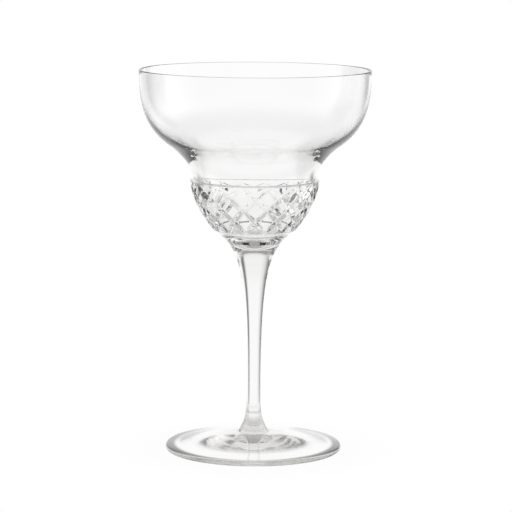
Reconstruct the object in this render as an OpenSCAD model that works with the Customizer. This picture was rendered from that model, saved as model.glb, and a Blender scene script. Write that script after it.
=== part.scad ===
// Margarita glass: a wide bowl that steps down to a small diamond-cut cup, on a drawn stem and a round foot.
// Three pieces of clear glass are melted together: bowl, stem and foot. They meet at flat seams.
// The origin is under the middle of the foot, on the surface that the glass stands on, with +Z up.

/* [Bowl] */
// Outer diameter of the rim
rim_d = 110; // [98:1:122]
// Height from the neck up to the rim
bowl_h = 50.6; // [44:0.1:60]
// Height of the fold, where the bowl's curve turns out again, above the neck
fold_h = 14.8; // [12:0.1:18]
// Outer diameter at the fold
fold_d = 80.8; // [74:1:88]
// Lean of the wall at the fold, from upright
fold_lean = 56; // [48:1:60]
// Outer diameter of the neck between bowl and cup
neck_d = 58.4; // [55:0.2:61]
// Height of the plain neck above the cut band
neck_h = 1.6; // [1:0.1:4]
// Wall at the rim
rim_wall = 1; // [0.8:0.1:1.8]
// Wall at the fold
fold_wall = 2.1; // [1.4:0.1:2.8]
// How much more than the outside the inside leans at the fold
fold_lean_in = 2.8; // [0:0.2:5]
// How far down its slope the fold of the inside lies
fold_sag = 0.5; // [0.1:0.1:1.5]
// Wall at the neck
neck_wall = 3; // [2:0.1:3.6]

/* [Cup] */
// Height of the diamond-cut band
band_h = 23.6; // [21:0.2:30]
// How far the top of the band stands out from the neck
band_proud = 1.5; // [1:0.1:3]
// Outer diameter at the foot of the band
band_foot_d = 40; // [36:0.5:46]
// Height of the bevel under the band
bevel_h = 0.7; // [0.5:0.1:2]
// How far the bevel leads in under the band
bevel_in = 1.8; // [0.6:0.1:3]
// Height of the solid root, from the stem's seam up to the bevel
root_h = 19.7; // [17:0.1:23]
// Lean of the root's side under the bevel, from upright
root_lean = 48; // [36:1:54]
// Glass over the stem's seam, up to the lowest point inside the cup
floor_h = 12.6; // [10:0.1:15]

/* [Diamond cuts] */
// Cuts that climb each way round the band
cuts = 15; // [11:1:17]
// Depth of a cut below the crown of a diamond
cut_depth = 1; // [0.5:0.05:1.2]
// Width of one side of a cut, half-way along a diamond
cut_side = 1.3; // [1:0.1:2.4]
// Drop from the crown of a diamond to its corners
crown_drop = 0.3; // [0.2:0.05:0.8]
// Height in which the cuts run out towards the foot of the band
runout_low = 3.6; // [2:0.1:6]
// Height in which the cuts run out towards the top of the band
runout_top = 7; // [3:0.2:9]
// Turn of the whole pattern about the axis
cut_turn = -5; // [-12:1:12]

/* [Stem] */
// Length between the two seams
stem_l = 68.4; // [55:0.2:90]
// Diameter at the upper seam, where the stem meets the bowl
stem_top_d = 13.4; // [11:0.2:16]
// Lean of the side at the upper seam, from upright
stem_top_lean = 13; // [8:1:18]
// Diameter at the thinnest place
stem_thin_d = 6.5; // [5.5:0.1:7.4]
// Height of the thinnest place above the lower seam
stem_thin_h = 12; // [8:0.5:20]
// Diameter at the lower seam, where the stem meets the foot
stem_foot_d = 7.6; // [7.4:0.1:9]
// Lean of the side at the lower seam, from upright
stem_foot_lean = 9; // [4:1:14]

/* [Foot] */
// Diameter of the foot
foot_d = 84; // [70:1:92]
// Thickness of the foot's edge
edge_h = 2.8; // [2.2:0.1:3.6]
// Rise of the upper face, from the edge to the collar
foot_rise = 5.6; // [3:0.1:8]
// Height of the collar, from there up to the lower seam
collar_h = 9; // [7:0.1:12]
// Diameter at the base of the collar
collar_d = 15.2; // [13:0.2:20]
// Width of the flat ring that the glass stands on
rest_w = 4; // [2:0.2:6]
// Height of the hollow under the foot
hollow_h = 2.4; // [1:0.1:3]

/* [Hidden] */

// Heights of the seams and of the stations above them
low_seam_z = edge_h + foot_rise + collar_h;
top_seam_z = low_seam_z + stem_l;
bevel_z = top_seam_z + root_h;
band_z = bevel_z + bevel_h;
band_top_z = band_z + band_h;
neck_z = band_top_z + neck_h;
fold_z = neck_z + fold_h;
rim_z = neck_z + bowl_h;
floor_z = top_seam_z + floor_h;

// Outer diameter at the top of the band
band_top_d = neck_d + 2 * band_proud;

// Lengths of the curves' handles, as shares of the rise that each curve spans
side_top_share = 0.44;
side_low_share = 0.4;
fold_low_share = 0.45;
fold_in_share = 0.75;
neck_share = 0.24;
root_top_share = 0.457;
root_low_share = 0.51;
stem_top_share = 0.2;
stem_mid_share = 0.5;
stem_low_share = 0.45;
stem_foot_share = 0.25;
collar_top_share = 0.4;
collar_low_share = 0.35;
foot_top_share = 0.2;
foot_low_share = 0.4;
cup_side_share = 0.66;
// Handle of the cup's floor, as a share of the radius at the bevel's lower edge
cup_floor_share = 0.29;
// Handles of the band's face, as shares of how far the band widens from its foot to its top
band_low_share = 0.56;
band_high_share = 0.98;
// Handle of the hollow under the foot, as a share of its radius
hollow_share = 0.6;

// Straight pieces in each curve and each rounded edge, and facets of a full turn
curve_steps = 12;
edge_steps = 4;
turn_fn = 120;

// Rounding of the band's upper edge, of the foot's edge, and flat crest of the mouth
band_round = 0.6;
edge_round = 1.2;
mouth_flat = 0.2;
// Set-back of the smooth body under the band's lower edge, and depth to which it runs into the band
band_seat = 0.2;
band_lap = 1;
// Overrun of the hollow past the mouth
overrun = 1;

// Grid of the band: steps along one side of a diamond, rows of half diamonds and points of one ring
side_steps = 6;
half_rows = 4;
rows = half_rows * side_steps;
ring = cuts * side_steps;
grid_turn = 180 / ring;

glass = [0.93, 0.95, 0.96, 0.45];

// A cubic curve from a to d with handles b and c: one point at t, or all points after a
function at(a, b, c, d, t) =
    pow(1 - t, 3) * a + 3 * pow(1 - t, 2) * t * b + 3 * (1 - t) * t * t * c + t * t * t * d;
function curve(a, b, c, d) = [for (k = [1:curve_steps]) at(a, b, c, d, k / curve_steps)];

// A step of length h down a side that leans out from upright by the angle lean as it climbs
function down(h, lean) = [-h * sin(lean), -h * cos(lean)];

// Points of an elliptic arc about a centre
function arc(centre, reach, from, to) = [for (k = [0:edge_steps])
    let (a = from + (to - from) * k / edge_steps)
    centre + [reach[0] * cos(a), reach[1] * sin(a)]];

// Side of the bowl from the mouth down to the neck, through a fold with a lean and a handle below it
function bowl_side(mouth, fold, lean, low_share, neck) =
    let (high = rim_z - fold_z)
    concat(
        curve(mouth, mouth - [0, high * side_top_share], fold - down(high * side_low_share, lean), fold),
        curve(fold, fold + down(fold_h * low_share, lean), neck + [0, fold_h * neck_share], neck));

// Side of the solid root under the cup, from the bevel down to the upper seam
bevel_edge = [band_foot_d / 2 - bevel_in, bevel_z];
top_seam = [stem_top_d / 2, top_seam_z];
root_side = curve(bevel_edge, bevel_edge + down(root_h * root_top_share, root_lean),
    top_seam - down(root_h * root_low_share, stem_top_lean), top_seam);

// Outline of the glass body, filled in to the axis, without its band
crest_r = rim_d / 2 - rim_wall / 2;
mouth_z = rim_z - rim_wall / 2;
mouth_reach = [rim_wall / 2 - mouth_flat / 2, rim_wall / 2];
fold_out = [fold_d / 2, fold_z];
body_outline = concat(
    [[0, rim_z]],
    arc([crest_r + mouth_flat / 2, mouth_z], mouth_reach, 90, 0),
    bowl_side([rim_d / 2, mouth_z], fold_out, fold_lean, fold_low_share, [neck_d / 2, neck_z]),
    [[neck_d / 2, band_top_z - band_lap], [band_foot_d / 2 - band_seat, band_z + band_lap],
        [band_foot_d / 2 - band_seat, band_z], bevel_edge],
    root_side,
    [[0, top_seam_z]]);

// Outline of the hollow, from above the mouth down to the middle of the cup's floor
fold_inside = fold_out + fold_wall * [-cos(fold_lean), sin(fold_lean)] + down(fold_sag, fold_lean);
neck_inside = [neck_d / 2 - neck_wall, neck_z];
cup_floor = [0, floor_z];
cup_side = curve(neck_inside, neck_inside - [0, (neck_z - floor_z) * cup_side_share],
    cup_floor + [bevel_edge[0] * cup_floor_share, 0], cup_floor);
hollow_outline = concat(
    [[0, rim_z + overrun], [crest_r - mouth_flat / 2, rim_z + overrun]],
    arc([crest_r - mouth_flat / 2, mouth_z], mouth_reach, 90, 180),
    bowl_side([rim_d / 2 - rim_wall, mouth_z], fold_inside, fold_lean + fold_lean_in, fold_in_share,
        neck_inside),
    cup_side);

// Radius of the band's crowns at the share t of its height, and the lean of its face there
band_low = band_foot_d / 2;
band_grow = band_top_d / 2 - band_low;
function band_r(t) = band_low + band_grow * at(0, band_low_share, band_high_share, 1, t);
function band_lean(t) = let (a = band_low_share, b = band_high_share)
    atan(band_grow / band_h * 3 * (pow(1 - t, 2) * a + 2 * (1 - t) * t * (b - a) + t * t * (1 - b)));

// Length of a diamond's side, and slope of a cut's two sides
diamond_side = norm([band_h / half_rows, PI * band_r(1 / 2) / cuts]);
middle_drop = 2 * crown_drop * pow(1 / 2 - cut_side / diamond_side, 2);
cut_slope = (cut_depth - middle_drop) / cut_side;

// Depth of the cut band below its crowns. The place (u, v) is counted in diamonds across the two
// families of cuts. Each cut is a V, and each diamond between four cuts falls from its crown.
function from_cut(u) = abs(u - round(u));
function cut_at(u) = cut_depth - from_cut(u) * diamond_side * cut_slope;
function crown_at(u, v) = 2 * crown_drop * (pow(1 / 2 - from_cut(u), 2) + pow(1 / 2 - from_cut(v), 2));
function relief(u, v) = max(cut_at(u), cut_at(v), crown_at(u, v));

// The cuts run out smoothly towards both edges of the band
function ease(s) = s * s * (3 - 2 * s);
function runout(j) = let (row_h = band_h / rows)
    ease(min(1, j * row_h / runout_low, (rows - j) * row_h / runout_top));

// Grid point i of row j. Neighbours lie along the cuts, so that every cut has a sharp line.
function grid_point(i, j) =
    let (t = j / rows, lean = band_lean(t), a = i * grid_turn + cut_turn,
        h = relief((i + j) / (2 * side_steps), (i - j) / (2 * side_steps)) * runout(j),
        r = band_r(t) - h * cos(lean) - (j == rows ? band_round : 0))
    [r * cos(a), r * sin(a), band_z + t * band_h + h * sin(lean)];

// Number of the grid point i of row j in the list of points
function id(i, j) = j * ring + floor(((i + 2 * ring) % (2 * ring)) / 2);

band_points = [for (j = [0:rows], k = [0:ring - 1]) grid_point(2 * k + j % 2, j)];
band_faces = concat(
    [[for (k = [0:ring - 1]) id(2 * k, 0)]],
    [[for (k = [ring - 1:-1:0]) id(2 * k, rows)]],
    [for (j = [0:rows - 1], k = [0:ring - 1]) let (i = 2 * k + (j + 1) % 2)
        [id(i - 1, j), id(i, j + 1), id(i + 1, j)]],
    [for (j = [1:rows], k = [0:ring - 1]) let (i = 2 * k + (j + 1) % 2)
        [id(i - 1, j), id(i + 1, j), id(i, j - 1)]]);

// Outline of the stem between its two flat ends
thin = [stem_thin_d / 2, low_seam_z + stem_thin_h];
low_seam = [stem_foot_d / 2, low_seam_z];
stem_rise = top_seam_z - thin[1];
stem_outline = concat(
    [[0, top_seam_z], top_seam],
    curve(top_seam, top_seam + down(stem_rise * stem_top_share, stem_top_lean),
        thin + [0, stem_rise * stem_mid_share], thin),
    curve(thin, thin - [0, stem_thin_h * stem_low_share],
        low_seam - down(stem_thin_h * stem_foot_share, -stem_foot_lean), low_seam),
    [[0, low_seam_z]]);

// Outline of the foot: collar, upper face, rounded edge, resting ring and hollow underside
collar_base = [collar_d / 2, edge_h + foot_rise];
edge_top = [foot_d / 2 - edge_round, edge_h];
foot_span = edge_top[0] - collar_base[0];
rest_out = foot_d / 2 - edge_round;
rest_in = rest_out - rest_w;
foot_outline = concat(
    [[0, low_seam_z], low_seam],
    curve(low_seam, low_seam + down(collar_h * collar_top_share, -stem_foot_lean),
        collar_base + [-collar_h, collar_h] * collar_low_share / 2, collar_base),
    curve(collar_base, collar_base + [foot_span, -foot_rise] * foot_top_share,
        edge_top + [-foot_span, foot_rise / 4] * foot_low_share, edge_top),
    arc([edge_top[0], edge_h / 2], [edge_round, edge_h / 2], 90, -90),
    [[rest_in, 0]],
    curve([rest_in, 0], [rest_in * hollow_share, hollow_h], [rest_in * hollow_share, hollow_h],
        [0, hollow_h]));

module cut_band() {
    polyhedron(band_points, band_faces);
}

module bowl() {
    color(glass) difference() {
        union() {
            rotate_extrude($fn = turn_fn) polygon(body_outline);
            cut_band();
        }
        rotate_extrude($fn = turn_fn) polygon(hollow_outline);
    }
}

module stem() {
    color(glass) rotate_extrude($fn = turn_fn) polygon(stem_outline);
}

module foot() {
    color(glass) rotate_extrude($fn = turn_fn) polygon(foot_outline);
}

bowl();
stem();
foot();
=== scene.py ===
"""Margarita glass: smooth clear-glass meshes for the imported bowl, stem and foot, and a white studio."""

import math

import bpy
import numpy as np
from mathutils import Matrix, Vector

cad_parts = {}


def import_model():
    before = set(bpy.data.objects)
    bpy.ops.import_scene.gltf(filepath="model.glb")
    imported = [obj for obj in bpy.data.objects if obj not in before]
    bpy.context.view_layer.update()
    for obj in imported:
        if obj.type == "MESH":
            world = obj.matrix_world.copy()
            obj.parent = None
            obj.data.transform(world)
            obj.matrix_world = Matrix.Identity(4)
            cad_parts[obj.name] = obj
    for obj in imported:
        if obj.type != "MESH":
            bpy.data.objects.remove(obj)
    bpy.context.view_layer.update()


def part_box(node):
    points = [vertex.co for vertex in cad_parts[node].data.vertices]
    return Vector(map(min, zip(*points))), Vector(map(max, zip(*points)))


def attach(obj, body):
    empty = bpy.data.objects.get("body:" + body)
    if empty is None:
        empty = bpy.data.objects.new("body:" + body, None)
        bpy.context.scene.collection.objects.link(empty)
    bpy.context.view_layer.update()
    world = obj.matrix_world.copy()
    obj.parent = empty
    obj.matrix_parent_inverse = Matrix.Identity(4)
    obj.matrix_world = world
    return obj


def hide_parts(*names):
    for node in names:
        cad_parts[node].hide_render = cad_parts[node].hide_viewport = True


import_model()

MM = 0.001

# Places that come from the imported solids
stem_low, stem_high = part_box("stem")
bowl_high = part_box("bowl")[1]
LOW_SEAM_Z = stem_low.z
TOP_SEAM_Z = stem_high.z
RIM_Z = bowl_high.z
RIM_R = 55 * MM
FOOT_R = 42 * MM

# Bowl, from the neck up
NECK_Z = TOP_SEAM_Z + 45.6 * MM
FOLD_H = 14.8 * MM
FOLD_R = 40.4 * MM
FOLD_LEAN = math.radians(56)
NECK_R = 29.2 * MM
RIM_WALL = 1 * MM
FOLD_WALL = 2.1 * MM
FOLD_LEAN_IN = math.radians(58.8)
FOLD_SAG = 0.5 * MM
NECK_WALL = 3 * MM
MOUTH_FLAT = 0.2 * MM
SIDE_TOP_SHARE = 0.44
SIDE_LOW_SHARE = 0.4
FOLD_LOW_SHARE = 0.45
FOLD_IN_SHARE = 0.75
NECK_SHARE = 0.24
NECK_FILLET = 0.3 * MM

# Cup with its band of diamond cuts, and the solid root below it
ROOT_H = 19.7 * MM
BEVEL_H = 0.7 * MM
BEVEL_R = 18.2 * MM
ROOT_LEAN = math.radians(48)
BAND_H = 23.6 * MM
BAND_TOP_R = 30.7 * MM
BAND_FOOT_R = 20 * MM
FLOOR_H = 12.6 * MM
ROOT_TOP_SHARE = 0.457
ROOT_LOW_SHARE = 0.51
CUP_SIDE_SHARE = 0.66
CUP_FLOOR_SHARE = 0.29
BAND_LOW_SHARE = 0.56
BAND_HIGH_SHARE = 0.98
BAND_ROUND = 0.5 * MM

# Diamond cuts
CUTS = 15
HALF_ROWS = 4
CUT_DEPTH = 1 * MM
CUT_SIDE = 1.3 * MM
CROWN_DROP = 0.3 * MM
RUNOUT_LOW = 3.6 * MM
RUNOUT_TOP = 7 * MM
CUT_TURN = math.radians(-5)
CUT_SOFTNESS = 0.05 * MM

# Stem and foot
STEM_TOP_R = 6.7 * MM
STEM_TOP_LEAN = math.radians(13)
STEM_THIN_R = 3.25 * MM
STEM_THIN_H = 12 * MM
STEM_FOOT_R = 3.8 * MM
STEM_FOOT_LEAN = math.radians(9)
STEM_TOP_SHARE = 0.2
STEM_MID_SHARE = 0.5
STEM_LOW_SHARE = 0.45
STEM_FOOT_SHARE = 0.25
EDGE_H = 2.8 * MM
FOOT_RISE = 5.6 * MM
COLLAR_H = 9 * MM
COLLAR_R = 7.6 * MM
COLLAR_TOP_SHARE = 0.4
COLLAR_LOW_SHARE = 0.35
FOOT_TOP_SHARE = 0.2
FOOT_LOW_SHARE = 0.4
EDGE_ROUND = 1.2 * MM
REST_W = 4 * MM
HOLLOW_H = 2.4 * MM
HOLLOW_SHARE = 0.6

# Fineness of the meshes
SIDE_STEPS = 24
CURVE_STEPS = 24
STEM_STEPS = 60
EDGE_STEPS = 8
RING = CUTS * SIDE_STEPS
BAND_ROWS = HALF_ROWS * SIDE_STEPS
GRID_TURN = math.pi / RING
SHARP_FROM = math.radians(60)


def point(r, z):
    return np.array([r, z], float)


def at(a, b, c, d, t):
    """The point at t of a cubic curve from a to d with handles b and c."""
    return (1 - t) ** 3 * a + 3 * (1 - t) ** 2 * t * b + 3 * (1 - t) * t * t * c + t**3 * d


def curve(a, b, c, d, steps=CURVE_STEPS):
    """Points of a cubic curve after its start."""
    return [at(a, b, c, d, k / steps) for k in range(1, steps + 1)]


def down(length, lean):
    """A step down a side that leans out from upright by the angle lean as it climbs."""
    return point(-length * math.sin(lean), -length * math.cos(lean))


def arc(centre, reach, start, end, steps=EDGE_STEPS):
    """Points of an elliptic arc, from the angle start to the angle end, in degrees."""
    turns = [math.radians(start + (end - start) * k / steps) for k in range(steps + 1)]
    return [centre + point(reach[0] * math.cos(a), reach[1] * math.sin(a)) for a in turns]


def bowl_side(mouth, fold, lean, low_share, neck):
    """Side of the bowl from the mouth down to the neck, through a fold with its lean and lower handle."""
    high = RIM_Z - NECK_Z - FOLD_H
    upper = curve(mouth, mouth - point(0, high * SIDE_TOP_SHARE),
                  fold - down(high * SIDE_LOW_SHARE, lean), fold)
    lower = curve(fold, fold + down(FOLD_H * low_share, lean),
                  neck + point(0, FOLD_H * NECK_SHARE), neck)
    return [mouth] + upper + lower


def band_r(t):
    """Radius of the band's crowns at the share t of its height."""
    return BAND_FOOT_R + (BAND_TOP_R - BAND_FOOT_R) * at(0, BAND_LOW_SHARE, BAND_HIGH_SHARE, 1, t)


def band_lean(t):
    """Lean of the band's face at t, from upright."""
    a, b = BAND_LOW_SHARE, BAND_HIGH_SHARE
    slope = 3 * ((1 - t) ** 2 * a + 2 * (1 - t) * t * (b - a) + t * t * (1 - b))
    return math.atan(slope * (BAND_TOP_R - BAND_FOOT_R) / BAND_H)


DIAMOND_SIDE = math.hypot(BAND_H / HALF_ROWS, math.pi * band_r(0.5) / CUTS)
MIDDLE_DROP = 2 * CROWN_DROP * (0.5 - CUT_SIDE / DIAMOND_SIDE) ** 2
CUT_SLOPE = (CUT_DEPTH - MIDDLE_DROP) / CUT_SIDE


def relief(u, v):
    """Depth of the cuts at the place (u, v), counted in diamonds across the two families of cuts."""
    du, dv = np.abs(u - np.round(u)), np.abs(v - np.round(v))
    depths = [
        CUT_DEPTH - du * DIAMOND_SIDE * CUT_SLOPE,
        CUT_DEPTH - dv * DIAMOND_SIDE * CUT_SLOPE,
        2 * CROWN_DROP * ((0.5 - du) ** 2 + (0.5 - dv) ** 2),
    ]
    top = np.maximum(np.maximum(depths[0], depths[1]), depths[2])
    spread = sum(np.exp((d - top) / CUT_SOFTNESS) for d in depths)
    return top + CUT_SOFTNESS * np.log(spread)


def band_rows():
    """Rows of the band from its foot to its top: each a ring of points on both families of cuts."""
    rows = []
    for j in range(BAND_ROWS + 1):
        t = j / BAND_ROWS
        i = 2 * np.arange(RING) + j % 2
        inset = min(1, t * BAND_H / RUNOUT_LOW, (1 - t) * BAND_H / RUNOUT_TOP)
        fade = inset**2 * (3 - 2 * inset)
        depth = relief((i + j) / (2 * SIDE_STEPS), (i - j) / (2 * SIDE_STEPS)) * fade
        below_top = (1 - t) * BAND_H
        rounding = max(0, 1 - below_top / BAND_ROUND)
        r = band_r(t) - depth * math.cos(band_lean(t)) - BAND_ROUND * (1 - math.sqrt(1 - rounding**2))
        z = TOP_SEAM_Z + ROOT_H + BEVEL_H + t * BAND_H + depth * math.sin(band_lean(t))
        angle = i * GRID_TURN + CUT_TURN
        rows.append(np.stack([r * np.cos(angle), r * np.sin(angle), z], -1))
    return rows


def ring_rows(profile):
    """A ring of points for each (r, z) of a profile, in line with the band's even rows."""
    angle = 2 * np.arange(RING) * GRID_TURN + CUT_TURN
    unit = np.stack([np.cos(angle), np.sin(angle)], -1)
    return [np.concatenate([unit * r, np.full((RING, 1), z)], 1) for r, z in profile]


class Shell:
    """Collects rows of points and the faces between them."""

    def __init__(self):
        self.points = []
        self.faces = []
        self.slots = []

    def add_row(self, row):
        first = sum(len(p) for p in self.points)
        self.points.append(np.atleast_2d(row))
        return first

    def join(self, a, b, slot=0):
        """Quads between two rings of points that start at a and b."""
        for k in range(RING):
            n = (k + 1) % RING
            self.faces.append((a + k, a + n, b + n, b + k))
            self.slots.append(slot)

    def fan(self, tip, ring, slot=0):
        """Triangles between one point on the axis and a ring."""
        for k in range(RING):
            self.faces.append((tip, ring + k, ring + (k + 1) % RING))
            self.slots.append(slot)

    def strip(self, profile, slot=0, last=None):
        """Rings for a profile, joined to each other and to the ring that starts at last."""
        for row in ring_rows(profile):
            first = self.add_row(row)
            if last is not None:
                self.join(last, first, slot)
            last = first
        return last

    def tip(self, z):
        return self.add_row(np.array([[0.0, 0.0, z]]))

    def weave(self, rows):
        """Diamond faces between rows of points, the odd rows half a step round from the even ones."""
        first = [self.add_row(r) for r in rows]
        last = len(rows) - 1
        for j in range(last + 1):
            for k in range(RING):
                i = 2 * k + (j + 1) % 2
                left = first[j] + ((i - 1) // 2) % RING
                right = first[j] + ((i + 1) // 2) % RING
                face = [left]
                if j > 0:
                    face.append(first[j - 1] + (i // 2) % RING)
                face.append(right)
                if j < last:
                    face.append(first[j + 1] + (i // 2) % RING)
                self.faces.append(tuple(face))
                self.slots.append(0)
        return first[0], first[last]

    def build(self, name, materials):
        mesh = bpy.data.meshes.new(name)
        mesh.from_pydata(np.concatenate(self.points).tolist(), [], self.faces)
        for material in materials:
            mesh.materials.append(material)
        mesh.polygons.foreach_set("material_index", self.slots)
        mesh.polygons.foreach_set("use_smooth", [True] * len(self.faces))
        mesh.validate()
        mesh.set_sharp_from_angle(angle=SHARP_FROM)
        mesh.update()
        made = bpy.data.objects.new(name, mesh)
        bpy.context.scene.collection.objects.link(made)
        bpy.context.view_layer.objects.active = made
        made.select_set(True)
        bpy.ops.object.mode_set(mode="EDIT")
        bpy.ops.mesh.select_all(action="SELECT")
        bpy.ops.mesh.normals_make_consistent(inside=False)
        bpy.ops.object.mode_set(mode="OBJECT")
        made.select_set(False)
        return made


def bowl_mesh(glass, seam):
    """The bowl: inside, mouth, outside, cut band, bevel and solid root."""
    shell = Shell()
    crest_r = RIM_R - RIM_WALL / 2
    reach = (RIM_WALL / 2 - MOUTH_FLAT / 2, RIM_WALL / 2)
    mouth_z = RIM_Z - RIM_WALL / 2
    floor_z = TOP_SEAM_Z + FLOOR_H
    fold_out = point(FOLD_R, NECK_Z + FOLD_H)
    across = FOLD_WALL * point(-math.cos(FOLD_LEAN), math.sin(FOLD_LEAN))
    fold_in = fold_out + across + down(FOLD_SAG, FOLD_LEAN)
    neck_in = point(NECK_R - NECK_WALL, NECK_Z)
    floor = point(0, floor_z)
    cup = curve(neck_in, neck_in - point(0, (NECK_Z - floor_z) * CUP_SIDE_SHARE),
                floor + point(BEVEL_R * CUP_FLOOR_SHARE, 0), floor)
    mouth_in = point(RIM_R - RIM_WALL, mouth_z)
    inside = bowl_side(mouth_in, fold_in, FOLD_LEAN_IN, FOLD_IN_SHARE, neck_in) + cup[:-1]
    mouth = arc(point(crest_r - MOUTH_FLAT / 2, mouth_z), reach, 180, 90)
    mouth += arc(point(crest_r + MOUTH_FLAT / 2, mouth_z), reach, 90, 0)
    mouth_out, neck_out = point(RIM_R, mouth_z), point(NECK_R, NECK_Z)
    outside = bowl_side(mouth_out, fold_out, FOLD_LEAN, FOLD_LOW_SHARE, neck_out)
    band_top_z = TOP_SEAM_Z + ROOT_H + BEVEL_H + BAND_H
    fillet_at = point(NECK_R + NECK_FILLET, band_top_z + NECK_FILLET)
    fillet = arc(fillet_at, (NECK_FILLET, NECK_FILLET), 180, 270)
    profile = inside[::-1] + mouth[1:-1] + outside + fillet
    tip = shell.tip(floor_z)
    last = shell.strip(profile)
    shell.fan(tip, 1)
    rows = band_rows()
    low, high = shell.weave(rows)
    shell.join(last, high)
    bevel = point(BEVEL_R, TOP_SEAM_Z + ROOT_H)
    seam_edge = point(STEM_TOP_R, TOP_SEAM_Z)
    root = curve(bevel, bevel + down(ROOT_H * ROOT_TOP_SHARE, ROOT_LEAN),
                 seam_edge - down(ROOT_H * ROOT_LOW_SHARE, STEM_TOP_LEAN), seam_edge)
    end = shell.strip([bevel] + root, last=low)
    shell.fan(shell.tip(TOP_SEAM_Z), end, 1)
    return shell.build("bowl_glass", [glass, seam])


def stem_mesh(glass, seam):
    """The drawn stem between its two seams."""
    shell = Shell()
    top = point(STEM_TOP_R, TOP_SEAM_Z)
    thin = point(STEM_THIN_R, LOW_SEAM_Z + STEM_THIN_H)
    low = point(STEM_FOOT_R, LOW_SEAM_Z)
    rise = top[1] - thin[1]
    side = [top] + curve(top, top + down(rise * STEM_TOP_SHARE, STEM_TOP_LEAN),
                         thin + point(0, rise * STEM_MID_SHARE), thin, STEM_STEPS)
    side += curve(thin, thin - point(0, STEM_THIN_H * STEM_LOW_SHARE),
                  low - down(STEM_THIN_H * STEM_FOOT_SHARE, -STEM_FOOT_LEAN), low)
    end = shell.strip(side)
    shell.fan(shell.tip(TOP_SEAM_Z), 0, 1)
    shell.fan(shell.tip(LOW_SEAM_Z), end, 1)
    return shell.build("stem_glass", [glass, seam])


def foot_mesh(glass, seam):
    """The foot: collar, upper face, rounded edge, resting ring and hollow underside."""
    shell = Shell()
    low = point(STEM_FOOT_R, LOW_SEAM_Z)
    base = point(COLLAR_R, EDGE_H + FOOT_RISE)
    edge = point(FOOT_R - EDGE_ROUND, EDGE_H)
    span = edge[0] - base[0]
    rest_in = point(FOOT_R - EDGE_ROUND - REST_W, 0)
    side = [low] + curve(low, low + down(COLLAR_H * COLLAR_TOP_SHARE, -STEM_FOOT_LEAN),
                         base + point(-1, 1) * COLLAR_H * COLLAR_LOW_SHARE / 2, base)
    side += curve(base, base + point(span, -FOOT_RISE) * FOOT_TOP_SHARE,
                  edge + point(-span, FOOT_RISE / 4) * FOOT_LOW_SHARE, edge)
    side += arc(point(edge[0], EDGE_H / 2), (EDGE_ROUND, EDGE_H / 2), 90, -90)[1:]
    side += [rest_in]
    hollow = curve(rest_in, point(rest_in[0] * HOLLOW_SHARE, HOLLOW_H),
                   point(rest_in[0] * HOLLOW_SHARE, HOLLOW_H), point(0, HOLLOW_H))
    side += hollow[:-1]
    end = shell.strip(side)
    shell.fan(shell.tip(LOW_SEAM_Z), 0, 1)
    shell.fan(shell.tip(HOLLOW_H), end)
    return shell.build("foot_glass", [glass, seam])


def calc(nodes, links, operation, *values):
    """A Math node's result. Each value is a number or an output."""
    made = nodes.new("ShaderNodeMath")
    made.operation = operation
    for k, value in enumerate(values):
        if isinstance(value, (int, float)):
            made.inputs[k].default_value = value
        else:
            links.new(value, made.inputs[k])
    return made.outputs[0]


def blend(nodes, links, low, high, share):
    """low where share is 0, high where it is 1."""
    low_part = calc(nodes, links, "MULTIPLY", low, calc(nodes, links, "SUBTRACT", 1, share))
    return calc(nodes, links, "ADD", low_part, calc(nodes, links, "MULTIPLY", high, share))


def heading_and_climb(nodes, links, place):
    """Degrees from straight behind the glass, and degrees above level, of the direction place."""
    split = nodes.new("ShaderNodeSeparateXYZ")
    links.new(place, split.inputs[0])
    turn = calc(nodes, links, "ARCTAN2", split.outputs["X"], split.outputs["Y"])
    rise = calc(nodes, links, "ARCSINE", split.outputs["Z"])
    return calc(nodes, links, "DEGREES", turn), calc(nodes, links, "DEGREES", rise)


def ramp(nodes, links, value, stops):
    """A brightness that follows value, with straight runs between the stops (value, brightness)."""
    low, high = stops[0][0], stops[-1][0]
    share = nodes.new("ShaderNodeMapRange")
    share.inputs["From Min"].default_value = low
    share.inputs["From Max"].default_value = high
    links.new(value, share.inputs["Value"])
    made = nodes.new("ShaderNodeValToRGB")
    elements = made.color_ramp.elements
    for k, (place, level) in enumerate(stops):
        position = (place - low) / (high - low)
        stop = elements[k] if k < 2 else elements.new(position)
        stop.position = position
        stop.color = (level, level, level, 1)
    links.new(share.outputs[0], made.inputs[0])
    return made.outputs[0]


WHITE = (1, 1, 1, 1)
# Clear glass, with its faint warm grey, its waves and its haze; noise scales are per metre
GLASS_IOR = 1.52
DEPTH_COLOR = (0.1, 0.06, 0, 1)
DEPTH_DENSITY = 6
WAVE_SCALE = 60
WAVE_DETAIL = 1
WAVE_STRENGTH = 0.15
WAVE_HEIGHT = 0.1 * MM
HAZE_SCALE = 25
HAZE_DETAIL = 4
HAZE_FROM = 0.4
HAZE_TO = 0.8
HAZE_ROUGH = 0.003
# The dulled hollow under the foot: height and distance from the origin that it stays within, and roughness
UNDER_Z = 2.7 * MM
UNDER_R = 37 * MM
UNDER_ROUGH = 0.08


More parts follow.
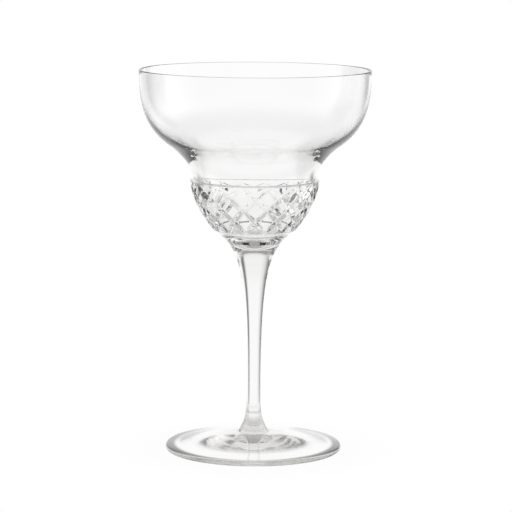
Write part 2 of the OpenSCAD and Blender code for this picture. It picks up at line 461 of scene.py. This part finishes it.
def glass_material():
    """Clear fire-polished glass: faint warm grey in its depth, slightly wavy, and dulled under the foot."""
    made = bpy.data.materials.new("clear_glass")
    made.use_nodes = True
    nodes, links = made.node_tree.nodes, made.node_tree.links
    shader = nodes["Principled BSDF"]
    shader.inputs["Base Color"].default_value = WHITE
    shader.inputs["Transmission Weight"].default_value = 1
    shader.inputs["IOR"].default_value = GLASS_IOR
    depth = nodes.new("ShaderNodeVolumeAbsorption")
    depth.inputs["Color"].default_value = DEPTH_COLOR
    depth.inputs["Density"].default_value = DEPTH_DENSITY
    links.new(depth.outputs[0], nodes["Material Output"].inputs["Volume"])
    place = nodes.new("ShaderNodeTexCoord")
    drawn = nodes.new("ShaderNodeTexNoise")
    drawn.inputs["Scale"].default_value = WAVE_SCALE
    drawn.inputs["Detail"].default_value = WAVE_DETAIL
    links.new(place.outputs["Object"], drawn.inputs["Vector"])
    waves = nodes.new("ShaderNodeBump")
    waves.inputs["Strength"].default_value = WAVE_STRENGTH
    waves.inputs["Distance"].default_value = WAVE_HEIGHT
    links.new(drawn.outputs[0], waves.inputs["Height"])
    links.new(waves.outputs[0], shader.inputs["Normal"])
    worn = nodes.new("ShaderNodeTexNoise")
    worn.inputs["Scale"].default_value = HAZE_SCALE
    worn.inputs["Detail"].default_value = HAZE_DETAIL
    links.new(place.outputs["Object"], worn.inputs["Vector"])
    haze = nodes.new("ShaderNodeMapRange")
    haze.inputs["From Min"].default_value = HAZE_FROM
    haze.inputs["From Max"].default_value = HAZE_TO
    haze.inputs["To Max"].default_value = HAZE_ROUGH
    links.new(worn.outputs[0], haze.inputs["Value"])
    split = nodes.new("ShaderNodeSeparateXYZ")
    links.new(place.outputs["Object"], split.inputs[0])
    reach = nodes.new("ShaderNodeVectorMath")
    reach.operation = "LENGTH"
    links.new(place.outputs["Object"], reach.inputs[0])
    under = calc(nodes, links, "MULTIPLY", calc(nodes, links, "LESS_THAN", split.outputs["Z"], UNDER_Z),
                 calc(nodes, links, "LESS_THAN", reach.outputs["Value"], UNDER_R))
    rough = calc(nodes, links, "MULTIPLY_ADD", under, UNDER_ROUGH, haze.outputs[0])
    links.new(rough, shader.inputs["Roughness"])
    return made


def seam_material():
    """Melted seam: light passes straight through it."""
    made = bpy.data.materials.new("melted_seam")
    made.use_nodes = True
    nodes, links = made.node_tree.nodes, made.node_tree.links
    nodes.clear()
    clear = nodes.new("ShaderNodeBsdfTransparent")
    out = nodes.new("ShaderNodeOutputMaterial")
    links.new(clear.outputs[0], out.inputs["Surface"])
    return made


glass = glass_material()
seam = seam_material()
for make, node in ((bowl_mesh, "bowl"), (stem_mesh, "stem"), (foot_mesh, "foot")):
    piece = make(glass, seam)
    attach(piece, "root")
    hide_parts(node)

# Studio
PAINT = (0.9, 0.9, 0.9, 1)
TABLE_R = 0.075
TABLE_SIDES = 96
# Brightness of the room round the glass, by heading in degrees from straight behind it
WALLS = [(-180, 0.85), (-150, 0.8), (-120, 0.8), (-100, 1), (-84, 1.1), (-76, 0.08), (-56, 0.05),
    (-46, 0.3), (-38, 0.55), (-32, 0.8), (-18, 1), (20, 1), (25, 0.9), (31, 0.2), (38, 0.15),
    (46, 0.9), (60, 1.3), (80, 1.5), (100, 1), (120, 0.8), (150, 0.8), (180, 0.85)]
# Brightness of the ground and of the ceiling, by elevation in degrees
GROUND = [(-90, 1), (-64, 1), (-53, 0.55), (-36, 0.55), (-26, 0.95), (-6, 1)]
CEILING = [(20, 1), (40, 0.6), (55, 0.35), (90, 0.35)]
# Shares of wall between the ground and the ceiling
GROUND_EDGE = [(-24, 0), (-20, 0.1), (-13, 0.65), (-7, 1)]
WALL_TOP = [(26, 0), (40, 1)]
# Painted shade on the table, seen only in the glass: a painted shadow under the foot, and darker again
# towards the table's edge; brightness by distance from the axis in metres
TABLE_PAINTED_SHADE = [(0, 0.65), (0.012, 0.7), (0.022, 0.95), (0.03, 1), (0.05, 1), (TABLE_R, 0.88)]
# Painted contact shadow on the table under the rim of the foot, seen only in the glass: its brightness by
# heading, and its share by distance
RIM_PAINTED_SHADOW = [(-180, 0.5), (-150, 0.22), (-110, 0.15), (-85, 0.25), (-50, 0.6), (-25, 1), (25, 1),
    (50, 0.6), (85, 0.25), (110, 0.15), (150, 0.22), (180, 0.5)]
RIM_SHADOW_SHARE = [(0, 0), (0.0365, 0), (0.0385, 1), (0.0422, 1), (0.0435, 0), (TABLE_R, 0)]
# Painted shade at the table's edge, seen only in the glass, following the walls' brightness: its share of
# the walls' brightness, and share of that edge by distance
WALL_SHADE_IN_TABLE = 0.66
WALL_SHADE_SHARE = [(0, 0), (0.034, 0), (0.042, 0.7), (0.055, 0.6), (TABLE_R, 0.05)]
# Share of plain white that the camera sees in the table, by the same distance
TABLE_SHOWN = [(0, 0.97), (0.05, 0.97), (TABLE_R, 1)]
# Most bounces of a ray, in all and in glass, in reflections and through clear seams
GLASS_BOUNCES = 48
MIRROR_BOUNCES = 12
CLEAR_BOUNCES = 16
# The photograph's camera, fitted to the ellipses of the rim and the foot: lens in mm, place in metres
CAMERA_LENS = 180.9
CAMERA_SENSOR = 36
CAMERA_AT = (-0.0002, -1.213, 0.2654)
CAMERA_DOWN = math.radians(8.08)
CAMERA_ROLL = math.radians(-0.33)

scene = bpy.context.scene
scene.view_settings.view_transform = "Standard"
scene.cycles.max_bounces = GLASS_BOUNCES
scene.cycles.transmission_bounces = GLASS_BOUNCES
scene.cycles.glossy_bounces = MIRROR_BOUNCES
scene.cycles.transparent_max_bounces = CLEAR_BOUNCES


def table():
    """A round white table under the glass. In the glass it shows painted shade: a painted shadow under the
    foot, a painted contact shadow under the foot's rim, and painted shade at its edge following the walls.
    """
    mesh = bpy.data.meshes.new("table")
    turns = [2 * math.pi * k / TABLE_SIDES for k in range(TABLE_SIDES)]
    edge_points = [(TABLE_R * math.cos(a), TABLE_R * math.sin(a), 0) for a in turns]
    mesh.from_pydata(edge_points, [], [range(TABLE_SIDES)])
    made = bpy.data.objects.new("table", mesh)
    scene.collection.objects.link(made)
    material = bpy.data.materials.new("table_white")
    material.use_nodes = True
    nodes, links = material.node_tree.nodes, material.node_tree.links
    nodes.clear()
    place = nodes.new("ShaderNodeTexCoord")
    reach = nodes.new("ShaderNodeVectorMath")
    reach.operation = "LENGTH"
    links.new(place.outputs["Object"], reach.inputs[0])
    heading = heading_and_climb(nodes, links, place.outputs["Object"])[0]
    # Painted shadow under the foot, and darker towards the table's edge, as emission strength seen only in
    # the glass
    glow = ramp(nodes, links, reach.outputs["Value"], TABLE_PAINTED_SHADE)
    # Painted shade at the table's edge by heading, following the walls' brightness
    edge = blend(nodes, links, 1, ramp(nodes, links, heading, WALLS), WALL_SHADE_IN_TABLE)
    painted_wall_shade = calc(nodes, links, "MULTIPLY", glow, edge)
    glow = blend(nodes, links, glow, painted_wall_shade, ramp(nodes, links, reach.outputs["Value"], WALL_SHADE_SHARE))
    # Painted contact shadow under the foot's rim, darker at the sides by heading
    rim_shadow = calc(nodes, links, "MULTIPLY", glow, ramp(nodes, links, heading, RIM_PAINTED_SHADOW))
    glow = blend(nodes, links, glow, rim_shadow, ramp(nodes, links, reach.outputs["Value"], RIM_SHADOW_SHARE))
    # Emission that shows the painted shade to glossy and transmission rays
    painted_shade_emission = nodes.new("ShaderNodeEmission")
    links.new(glow, painted_shade_emission.inputs["Strength"])
    painted_shade_emission.inputs["Color"].default_value = WHITE
    white = nodes.new("ShaderNodeEmission")
    white.inputs["Color"].default_value = WHITE
    paint = nodes.new("ShaderNodeBsdfDiffuse")
    paint.inputs["Color"].default_value = PAINT
    in_glass = nodes.new("ShaderNodeMixShader")
    path = nodes.new("ShaderNodeLightPath")
    from_glass = calc(nodes, links, "MAXIMUM", path.outputs["Is Glossy Ray"],
                      path.outputs["Is Transmission Ray"])
    links.new(from_glass, in_glass.inputs[0])
    links.new(paint.outputs[0], in_glass.inputs[1])
    links.new(painted_shade_emission.outputs[0], in_glass.inputs[2])
    seen = nodes.new("ShaderNodeMixShader")
    shown = ramp(nodes, links, reach.outputs["Value"], TABLE_SHOWN)
    links.new(calc(nodes, links, "MULTIPLY", path.outputs["Is Camera Ray"], shown), seen.inputs[0])
    links.new(in_glass.outputs[0], seen.inputs[1])
    links.new(white.outputs[0], seen.inputs[2])
    out = nodes.new("ShaderNodeOutputMaterial")
    links.new(seen.outputs[0], out.inputs["Surface"])
    mesh.materials.append(material)


def world():
    """White all round for the camera. The glass sees dark cards at the sides and a grey ceiling."""
    made = bpy.data.worlds.new("studio")
    scene.world = made
    made.use_nodes = True
    nodes, links = made.node_tree.nodes, made.node_tree.links
    nodes.clear()
    place = nodes.new("ShaderNodeTexCoord")
    heading, climb = heading_and_climb(nodes, links, place.outputs["Generated"])
    walls = ramp(nodes, links, heading, WALLS)
    ground = ramp(nodes, links, climb, GROUND)
    ceiling = ramp(nodes, links, climb, CEILING)
    low = blend(nodes, links, ground, walls, ramp(nodes, links, climb, GROUND_EDGE))
    room = blend(nodes, links, low, ceiling, ramp(nodes, links, climb, WALL_TOP))
    glow = nodes.new("ShaderNodeBackground")
    glow.inputs["Color"].default_value = WHITE
    links.new(room, glow.inputs["Strength"])
    white = nodes.new("ShaderNodeBackground")
    white.inputs["Color"].default_value = WHITE
    white.inputs["Strength"].default_value = 1
    mix = nodes.new("ShaderNodeMixShader")
    out = nodes.new("ShaderNodeOutputWorld")
    links.new(nodes.new("ShaderNodeLightPath").outputs["Is Camera Ray"], mix.inputs[0])
    links.new(glow.outputs[0], mix.inputs[1])
    links.new(white.outputs[0], mix.inputs[2])
    links.new(mix.outputs[0], out.inputs["Surface"])


def camera():
    """The photograph's view: the glass from 1.2 m, a little from above."""
    data = bpy.data.cameras.new("camera")
    data.sensor_width = CAMERA_SENSOR
    data.lens = CAMERA_LENS
    made = bpy.data.objects.new("camera", data)
    scene.collection.objects.link(made)
    made.location = CAMERA_AT
    made.rotation_euler = (math.pi / 2 - CAMERA_DOWN, CAMERA_ROLL, 0)
    scene.camera = made


table()
world()
camera()
